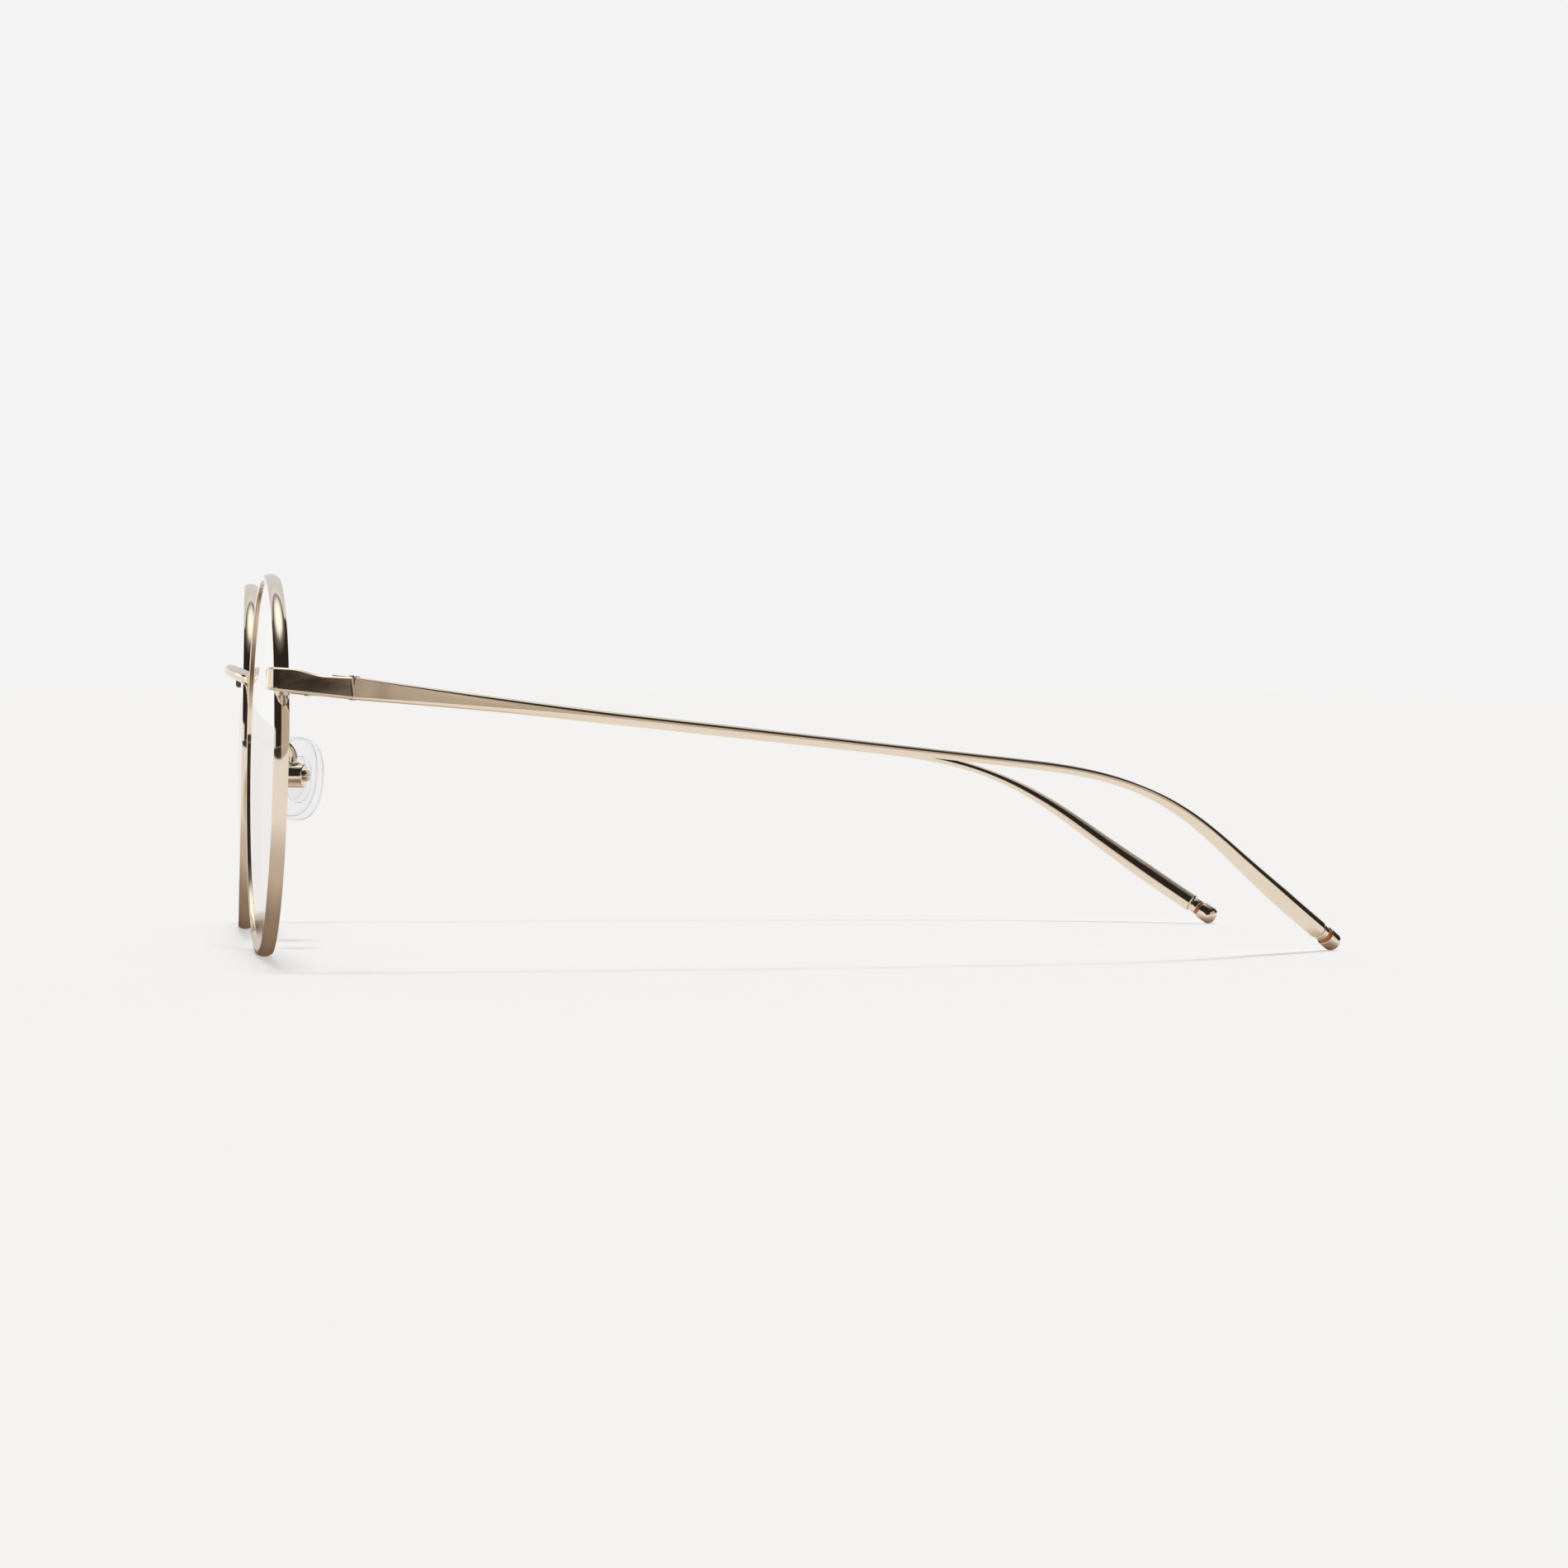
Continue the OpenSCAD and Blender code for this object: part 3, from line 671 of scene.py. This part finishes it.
def pad_box_shape():
    """A rounded box open towards the pad, with the collar that holds the arm."""
    rings = []
    half = BOX_W / 2
    section = [(BOX_FRONT, -BOX_MOUTH_HALF)]
    for i in range(33):
        a = math.radians(-BOX_SPREAD + 2 * BOX_SPREAD * i / 32)
        section.append((BOX_R * math.cos(a), BOX_R * math.sin(a)))
    section.append((BOX_FRONT, BOX_MOUTH_HALF))
    low_end = [(-half + inset, scale) for inset, scale in BOX_END_RINGS]
    high_end = [(half - inset, scale) for inset, scale in reversed(BOX_END_RINGS)]
    for y, scale in low_end + high_end:
        rings.append([pad_matrix @ Vector((x * scale, y, z * scale)) for x, z in section])
    vertices, faces = loft(rings)
    collar = Matrix.Translation((ARM_X, ARM_Y, ARM_LOW - ARM_COLLAR_L))
    r = ARM_COLLAR_D / 2
    top = ARM_COLLAR_L
    profile = [(0.05, 0), (r, 0), (r, 0.85), (r - 0.05, 1.0), (r - 0.18, top)]
    profile += [(ARM_D / 2 + FIT, top), (0.05, top)]
    more, more_faces = revolve(profile, collar, 48)
    start = len(vertices)
    return vertices + more, faces + [tuple(start + i for i in face) for face in more_faces]


# ---------------------------------------------------------------- materials
def new_material(name):
    material = bpy.data.materials.new(name)
    material.use_nodes = True
    nodes = material.node_tree.nodes
    return material, nodes, material.node_tree.links, nodes["Principled BSDF"]


def noise(nodes, links, scale, detail=3.0, stretch=(1, 1, 1)):
    """Object-space noise."""
    coordinates = nodes.new("ShaderNodeTexCoord")
    mapping = nodes.new("ShaderNodeMapping")
    mapping.inputs["Scale"].default_value = stretch
    texture = nodes.new("ShaderNodeTexNoise")
    texture.inputs["Scale"].default_value = scale
    texture.inputs["Detail"].default_value = detail
    links.new(coordinates.outputs["Object"], mapping.inputs["Vector"])
    links.new(mapping.outputs["Vector"], texture.inputs["Vector"])
    return texture


def ramp(nodes, links, source, low, high):
    """Maps the middle of a 0 to 1 noise to a range of values or colours."""
    node = nodes.new("ShaderNodeValToRGB")
    node.color_ramp.elements[0].position = 0.3
    node.color_ramp.elements[1].position = 0.7
    for element, value in zip(node.color_ramp.elements, (low, high)):
        element.color = (*value, 1) if isinstance(value, tuple) else (value, value, value, 1)
    links.new(source, node.inputs["Fac"])
    return node.outputs["Color"]


def bump(nodes, links, height, strength, distance, shader):
    node = nodes.new("ShaderNodeBump")
    node.inputs["Strength"].default_value = strength
    node.inputs["Distance"].default_value = distance
    links.new(height, node.inputs["Height"])
    links.new(node.outputs["Normal"], shader.inputs["Normal"])


def metal(name, dark, light, smooth, rough):
    """Polished plate: the colour drifts a little, and fine wiping marks change the gloss."""
    material, nodes, links, shader = new_material(name)
    shader.inputs["Metallic"].default_value = 1.0
    drift = noise(nodes, links, 60, 2)
    links.new(ramp(nodes, links, drift.outputs["Fac"], dark, light), shader.inputs["Base Color"])
    marks = noise(nodes, links, 900, 6, (1, 0.25, 1))
    links.new(ramp(nodes, links, marks.outputs["Fac"], smooth, rough), shader.inputs["Roughness"])
    bump(nodes, links, marks.outputs["Fac"], 0.04, 0.00002, shader)
    return material


def clear(name, tint, painted_edge_shade, gloss, graze):
    """A clear part with painted shade that darkens it a little where its surface turns away, and mirrors what
    grazes it.
    """
    material, nodes, links, shader = new_material(name)
    nodes.remove(shader)
    haze = noise(nodes, links, 250, 3)
    low = tuple(channel * 0.99 for channel in tint)
    turning = nodes.new("ShaderNodeLayerWeight")
    turning.inputs["Blend"].default_value = 0.5
    steep = nodes.new("ShaderNodeMath")
    steep.operation = "POWER"
    steep.inputs[1].default_value = 3
    links.new(turning.outputs["Facing"], steep.inputs[0])
    # Painted edge shade: the colour darkens towards painted_edge_shade as the surface turns away
    colour = nodes.new("ShaderNodeMix")
    colour.data_type = "RGBA"
    links.new(steep.outputs["Value"], colour.inputs["Factor"])
    links.new(ramp(nodes, links, haze.outputs["Fac"], low, tint), colour.inputs[6])
    colour.inputs[7].default_value = (*painted_edge_shade, 1)
    through = nodes.new("ShaderNodeBsdfTransparent")
    links.new(colour.outputs[2], through.inputs["Color"])
    mirror = nodes.new("ShaderNodeBsdfAnisotropic")
    mirror.inputs["Color"].default_value = (1, 1, 1, 1)
    links.new(ramp(nodes, links, haze.outputs["Fac"], 0.01, 0.03), mirror.inputs["Roughness"])
    share = nodes.new("ShaderNodeMapRange")
    share.interpolation_type = "SMOOTHSTEP"
    share.inputs["From Min"].default_value = 0.6
    share.inputs["From Max"].default_value = 0.88
    share.inputs["To Min"].default_value = gloss
    share.inputs["To Max"].default_value = graze
    links.new(turning.outputs["Facing"], share.inputs["Value"])
    # Only the outer skin mirrors, so that no light is caught inside the part
    inner = nodes.new("ShaderNodeMath")
    inner.operation = "SUBTRACT"
    inner.inputs[0].default_value = 1.0
    links.new(nodes.new("ShaderNodeNewGeometry").outputs["Backfacing"], inner.inputs[1])
    outer_share = nodes.new("ShaderNodeMath")
    outer_share.operation = "MULTIPLY"
    links.new(share.outputs["Result"], outer_share.inputs[0])
    links.new(inner.outputs["Value"], outer_share.inputs[1])
    mix = nodes.new("ShaderNodeMixShader")
    links.new(outer_share.outputs["Value"], mix.inputs["Fac"])
    links.new(through.outputs["BSDF"], mix.inputs[1])
    links.new(mirror.outputs["BSDF"], mix.inputs[2])
    links.new(mix.outputs["Shader"], nodes["Material Output"].inputs["Surface"])
    return material


def enamel(name, deep, bright):
    """Glossy coloured enamel whose depth of colour drifts a little."""
    material, nodes, links, shader = new_material(name)
    flow = noise(nodes, links, 700, 4)
    links.new(ramp(nodes, links, flow.outputs["Fac"], deep, bright), shader.inputs["Base Color"])
    links.new(ramp(nodes, links, flow.outputs["Fac"], 0.14, 0.24), shader.inputs["Roughness"])
    shader.inputs["Coat Weight"].default_value = 0.6
    shader.inputs["Coat Roughness"].default_value = 0.05
    bump(nodes, links, flow.outputs["Fac"], 0.05, 0.00003, shader)
    return material


gold = metal("pale_gold", (0.86, 0.755, 0.615), (0.90, 0.805, 0.67), 0.04, 0.08)
hinge_metal = metal("hinge_gold", (0.62, 0.50, 0.37), (0.72, 0.60, 0.46), 0.14, 0.24)
screw_metal = metal("screw_gold", (0.60, 0.52, 0.42), (0.76, 0.68, 0.56), 0.10, 0.22)
orange = enamel("orange_band", (0.42, 0.12, 0.02), (0.62, 0.21, 0.05))
# Each clear part's second colour is painted shade at its edges; the pads' is a strong grey
lens_glass = clear("lens_glass", (0.998, 0.994, 1.0), (0.985, 0.98, 0.99), 0.01, 0.97)
pad_soft = clear("soft_clear_pad", (0.995, 0.995, 0.998), (0.60, 0.585, 0.58), 0.01, 0.5)
pad_hard = clear("hard_clear_core", (0.99, 0.99, 0.988), (0.60, 0.59, 0.58), 0.015, 0.5)

# ---------------------------------------------------------------- the object
make("", "bridge", bridge_shape(), "front", gold)
for hand in SIDES:
    temple_body = f"{hand}_temple"
    pad_body = f"{hand}_pad"
    make(hand, "rim", rim_shape(), "front", gold)
    make(hand, "lens", lens_shape(), "front", lens_glass, 30)
    make(hand, "endpiece", endpiece_shape(), "front", gold)
    make(hand, "pad_arm", pad_arm_shape(), "front", gold)
    make(hand, "pad_box", pad_box_shape(), "front", gold)
    make(hand, "temple", temple_shape(), temple_body, gold)
    collar_skin = sleeve_shape(CAP_L + RING_L + COLLAR_L, COLLAR_L, COLLAR_R, COLLAR_ROUND)
    make(hand, "tip_collar", collar_skin, temple_body, gold)
    make(hand, "tip_ring", sleeve_shape(CAP_L + RING_L, RING_L, RING_R, RING_ROUND), temple_body, orange)
    make(hand, "tip_cap", cap_shape(), temple_body, gold)
    make(hand, "nose_pad", nose_pad_shape(), pad_body, pad_soft)
    make(hand, "pad_core", pad_core_shape(), pad_body, pad_hard)

# CAD nodes whose shape is right keep it, with softened edges and their own metal
KEPT = {
    "hinge_front": hinge_metal,
    "hinge_temple": hinge_metal,
    "closing_block_upper": gold,
    "closing_block_lower": gold,
    "hinge_screw": screw_metal,
    "closing_screw": screw_metal,
    "pad_screw": screw_metal,
}
for hand in SIDES:
    for part, material in KEPT.items():
        node = frame["nodes"][f"{hand}_{part}"]
        for material_slot in node.material_slots:
            material_slot.material = material
        soften = node.modifiers.new("soft_edges", "BEVEL")
        soften.width = 0.00004
        soften.segments = 2
        soften.limit_method = "ANGLE"
        soften.harden_normals = True

# ---------------------------------------------------------------- floor, light and camera
PAPER = 0.896  # the pale floor and background, as linear light
FLOOR_SHADE = 0.7
FLOOR_GLOW = 0.468
SIDE_EDGE = 2.6  # azimuth where the side panel starts
SIDE_LIGHT = (0.50, 0.425, 0.36)
# Where the rims and tips come down to the floor, with how far the painted contact shadow that reflections see
# reaches
rim_foot = (ORIGIN_Y - 1.5) * MM
tip_low, tip_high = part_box("left_tip_cap")
tip_x, tip_y = (tip_low[0] + tip_high[0]) / 2, (tip_low[1] + tip_high[1]) / 2
CONTACTS = (
    (0.035, rim_foot, 0.05),
    (-0.035, rim_foot, 0.05),
    (tip_x, tip_y, 0.005),
    (-tip_x, tip_y, 0.005),
)
# Painted contact shadow, seen only in reflections: dark brown at the contacts, paling with distance to the
# floor's reflected colour
PAINTED_CONTACT_SHADOW = (
    (0.04, (0.15, 0.10, 0.075)),
    (0.24, (0.29, 0.22, 0.17)),
    (0.5, (0.57, 0.49, 0.435)),
    (1.0, (0.86, 0.83, 0.81)),
)


def paper_floor():
    """Pale paper. Polished parts see a painted reflection of it instead, darkened and turned brown where the
    object comes down to it as a painted contact shadow.
    """
    bpy.ops.mesh.primitive_circle_add(vertices=96, radius=12, fill_type="NGON")
    floor = bpy.context.object
    floor.name = "floor"
    material, nodes, links, shader = new_material("paper_floor")
    grain = noise(nodes, links, 30, 2)
    shade = ramp(nodes, links, grain.outputs["Fac"], FLOOR_SHADE - 0.002, FLOOR_SHADE)
    links.new(shade, shader.inputs["Base Color"])
    shader.inputs["Roughness"].default_value = 1.0
    shader.inputs["Specular IOR Level"].default_value = 0.0
    shader.inputs["Emission Color"].default_value = (1, 1, 1, 1)
    shader.inputs["Emission Strength"].default_value = FLOOR_GLOW
    place = nodes.new("ShaderNodeTexCoord").outputs["Object"]
    nearest = None
    for x, y, spread in CONTACTS:
        away = nodes.new("ShaderNodeVectorMath")
        away.operation = "DISTANCE"
        away.inputs[1].default_value = (x, y, 0)
        links.new(place, away.inputs[0])
        scaled = nodes.new("ShaderNodeMath")
        scaled.operation = "DIVIDE"
        scaled.inputs[1].default_value = spread
        links.new(away.outputs["Value"], scaled.inputs[0])
        if nearest is None:
            nearest = scaled.outputs["Value"]
            continue
        lesser = nodes.new("ShaderNodeMath")
        lesser.operation = "MINIMUM"
        links.new(nearest, lesser.inputs[0])
        links.new(scaled.outputs["Value"], lesser.inputs[1])
        nearest = lesser.outputs["Value"]
    fade = nodes.new("ShaderNodeValToRGB")
    fade.color_ramp.interpolation = "EASE"
    while len(fade.color_ramp.elements) < len(PAINTED_CONTACT_SHADOW):
        fade.color_ramp.elements.new(0.5)
    for element, (position, colour) in zip(fade.color_ramp.elements, PAINTED_CONTACT_SHADOW):
        element.position = position
        element.color = (*colour, 1)
    links.new(nearest, fade.inputs["Fac"])
    # Glossy rays see this painted reflection, with its painted contact shadow, in place of the lit floor
    painted_reflection = nodes.new("ShaderNodeEmission")
    links.new(fade.outputs["Color"], painted_reflection.inputs["Color"])
    rays = nodes.new("ShaderNodeLightPath")
    mix = nodes.new("ShaderNodeMixShader")
    links.new(rays.outputs["Is Glossy Ray"], mix.inputs["Fac"])
    links.new(shader.outputs["BSDF"], mix.inputs[1])
    links.new(painted_reflection.outputs["Emission"], mix.inputs[2])
    links.new(mix.outputs["Shader"], nodes["Material Output"].inputs["Surface"])
    floor.data.materials.append(material)


def table_cards():
    """Glowing cards on the far side of the table, which only reflections see: a painted dark reflection in
    front, a painted grey reflection to the right.
    """
    near, far = 0.27, 5.0
    slope = math.tan(math.radians(SIDE_EDGE))
    plans = {
        "dark_card": ((near, -far), (far, -far), (far, far * slope), (near, near * slope)),
        "grey_card": ((near, near * slope), (far, far * slope), (far, far), (near, far)),
    }
    # Each card's glow is a painted reflection: near black in front, grey to the right
    for name, glow in (("dark_card", (0.04, 0.028, 0.022)), ("grey_card", SIDE_LIGHT)):
        mesh = bpy.data.meshes.new(name)
        mesh.from_pydata([(x, y - 0.06, 0.0005) for x, y in plans[name]], [], [(0, 1, 2, 3)])
        material, nodes, links, shader = new_material(name)
        grain = noise(nodes, links, 12, 2)
        links.new(ramp(nodes, links, grain.outputs["Fac"], 0.01, 0.02), shader.inputs["Base Color"])
        shader.inputs["Specular IOR Level"].default_value = 0.0
        shader.inputs["Emission Color"].default_value = (*glow, 1)
        shader.inputs["Emission Strength"].default_value = 1.0
        mesh.materials.append(material)
        card = bpy.data.objects.new(name, mesh)
        bpy.context.scene.collection.objects.link(card)
        card.visible_camera = False
        card.visible_shadow = False
        card.visible_diffuse = False
        card.visible_transmission = False


# Soft panels round the object, which light it and show only in reflections. Azimuth is the way they lie from
# +X towards +Y, and height is the angle up from the horizon:
# (azimuth, half width, softness, lowest, highest, colour)
PANELS = (
    ((SIDE_EDGE + 85) / 2, (85 - SIDE_EDGE) / 2, 0.01, -20, 33, SIDE_LIGHT),
    (-95, 45, 0.03, -20, 10, (0.86, 0.83, 0.80)),
    (192, 36, 0.03, -30, 7, (0.90, 0.90, 0.90)),
    (182, 48, 0.03, 7, 49, (0.66, 0.66, 0.70)),
)
ROOM = (0.028, 0.022, 0.018)
GLOW_WAY = (-0.276, 0, 0.961)  # where the soft overhead lamp hangs
GLOWS = (
    (0.949, 0.10, 1.05),
    (0.883, 0.19, 0.20),
)  # each one's edge and softness as cosines, and its brightness


def studio():
    """A dim room with soft panels. What is seen directly or through clear parts is plain paper."""
    world = bpy.data.worlds.new("studio")
    bpy.context.scene.world = world
    world.use_nodes = True
    nodes, links = world.node_tree.nodes, world.node_tree.links
    nodes.clear()

    def maths(operation, first, second):
        node = nodes.new("ShaderNodeMath")
        node.operation = operation
        for socket, value in zip(node.inputs, (first, second)):
            if isinstance(value, (int, float)):
                socket.default_value = value
            else:
                links.new(value, socket)
        return node.outputs["Value"]

    def step_up(value, edge, softness):
        """0 below the edge, 1 above it."""
        node = nodes.new("ShaderNodeMapRange")
        node.interpolation_type = "SMOOTHSTEP"
        node.inputs["From Min"].default_value = edge - softness / 2
        node.inputs["From Max"].default_value = edge + softness / 2
        links.new(value, node.inputs["Value"])
        return node.outputs["Result"]

    output = nodes.new("ShaderNodeOutputWorld")
    direction = nodes.new("ShaderNodeTexCoord").outputs["Generated"]
    flat = nodes.new("ShaderNodeVectorMath")
    flat.operation = "MULTIPLY"
    flat.inputs[1].default_value = (1, 1, 0)
    links.new(direction, flat.inputs[0])
    level = nodes.new("ShaderNodeVectorMath")
    level.operation = "NORMALIZE"
    links.new(flat.outputs["Vector"], level.inputs[0])
    parts = nodes.new("ShaderNodeSeparateXYZ")
    links.new(direction, parts.inputs["Vector"])

    def add_light(light_so_far, amount, colour):
        node = nodes.new("ShaderNodeVectorMath")
        node.operation = "MULTIPLY_ADD"
        links.new(amount, node.inputs[0])
        node.inputs[1].default_value = colour
        if isinstance(light_so_far, tuple):
            node.inputs[2].default_value = light_so_far
        else:
            links.new(light_so_far, node.inputs[2])
        return node.outputs["Vector"]

    total = ROOM
    for azimuth, half_width, softness, lowest, highest, colour in PANELS:
        way = math.radians(azimuth)
        facing = nodes.new("ShaderNodeVectorMath")
        facing.operation = "DOT_PRODUCT"
        facing.inputs[1].default_value = (math.cos(way), math.sin(way), 0)
        links.new(level.outputs["Vector"], facing.inputs[0])
        across = step_up(facing.outputs["Value"], math.cos(math.radians(half_width)), softness)
        above = step_up(parts.outputs["Z"], math.sin(math.radians(lowest)), 0.03)
        below = maths("SUBTRACT", 1.0, step_up(parts.outputs["Z"], math.sin(math.radians(highest)), 0.05))
        inside = maths("MULTIPLY", maths("MULTIPLY", across, above), below)
        total = add_light(total, inside, colour)
    lamp_facing = nodes.new("ShaderNodeVectorMath")
    lamp_facing.operation = "DOT_PRODUCT"
    lamp_facing.inputs[1].default_value = GLOW_WAY
    links.new(direction, lamp_facing.inputs[0])
    for edge, softness, brightness in GLOWS:
        glow = step_up(lamp_facing.outputs["Value"], edge, softness)
        total = add_light(total, glow, (brightness, brightness, brightness * 0.95))
    light = nodes.new("ShaderNodeBackground")
    links.new(total, light.inputs["Color"])
    paper = nodes.new("ShaderNodeBackground")
    paper.inputs["Color"].default_value = (1, 1, 1, 1)
    paper.inputs["Strength"].default_value = PAPER
    rays = nodes.new("ShaderNodeLightPath")
    seen = maths("MAXIMUM", rays.outputs["Is Camera Ray"], rays.outputs["Is Transmission Ray"])
    mix = nodes.new("ShaderNodeMixShader")
    links.new(seen, mix.inputs["Fac"])
    links.new(light.outputs["Background"], mix.inputs[1])
    links.new(paper.outputs["Background"], mix.inputs[2])
    links.new(mix.outputs["Shader"], output.inputs["Surface"])


KEY_ANGLE = 10
KEY_TILT = -16


def key_light():
    """A soft overhead light, which polished parts don't mirror."""
    lamp = bpy.data.lights.new("key", "SUN")
    lamp.energy = 1.0
    lamp.angle = math.radians(KEY_ANGLE)
    lamp_object = bpy.data.objects.new("key", lamp)
    lamp_object.rotation_euler = (0, math.radians(KEY_TILT), 0)
    lamp_object.visible_glossy = False
    bpy.context.scene.collection.objects.link(lamp_object)


CAMERA_LENS = 113.3
CAMERA_TURN = (8.162, 1.255, 0.114)  # yaw off the left side, pitch down and roll, in degrees
CAMERA_PLACE = (676.8, -23.94 + ORIGIN_Y, 36.46)


def camera():
    data = bpy.data.cameras.new("camera")
    data.sensor_width = 36
    data.lens = CAMERA_LENS
    data.clip_start = 0.01
    data.clip_end = 60
    view = bpy.data.objects.new("camera", data)
    yaw, pitch, roll = (math.radians(a) for a in CAMERA_TURN)
    forward = Vector((-math.cos(yaw) * math.cos(pitch), math.sin(yaw) * math.cos(pitch), -math.sin(pitch)))
    right = Vector((math.sin(yaw), math.cos(yaw), 0))
    up = right.cross(forward)
    level_right, level_up = right, up
    right = math.cos(roll) * level_right + math.sin(roll) * level_up
    up = math.cos(roll) * level_up - math.sin(roll) * level_right
    place = Vector(CAMERA_PLACE) * MM
    view.matrix_world = Matrix.Translation(place) @ Matrix((right, up, -forward)).transposed().to_4x4()
    bpy.context.scene.collection.objects.link(view)
    bpy.context.scene.camera = view


paper_floor()
table_cards()
studio()
key_light()
camera()
bpy.context.scene.view_settings.view_transform = "Standard"

bpy.context.view_layer.update()
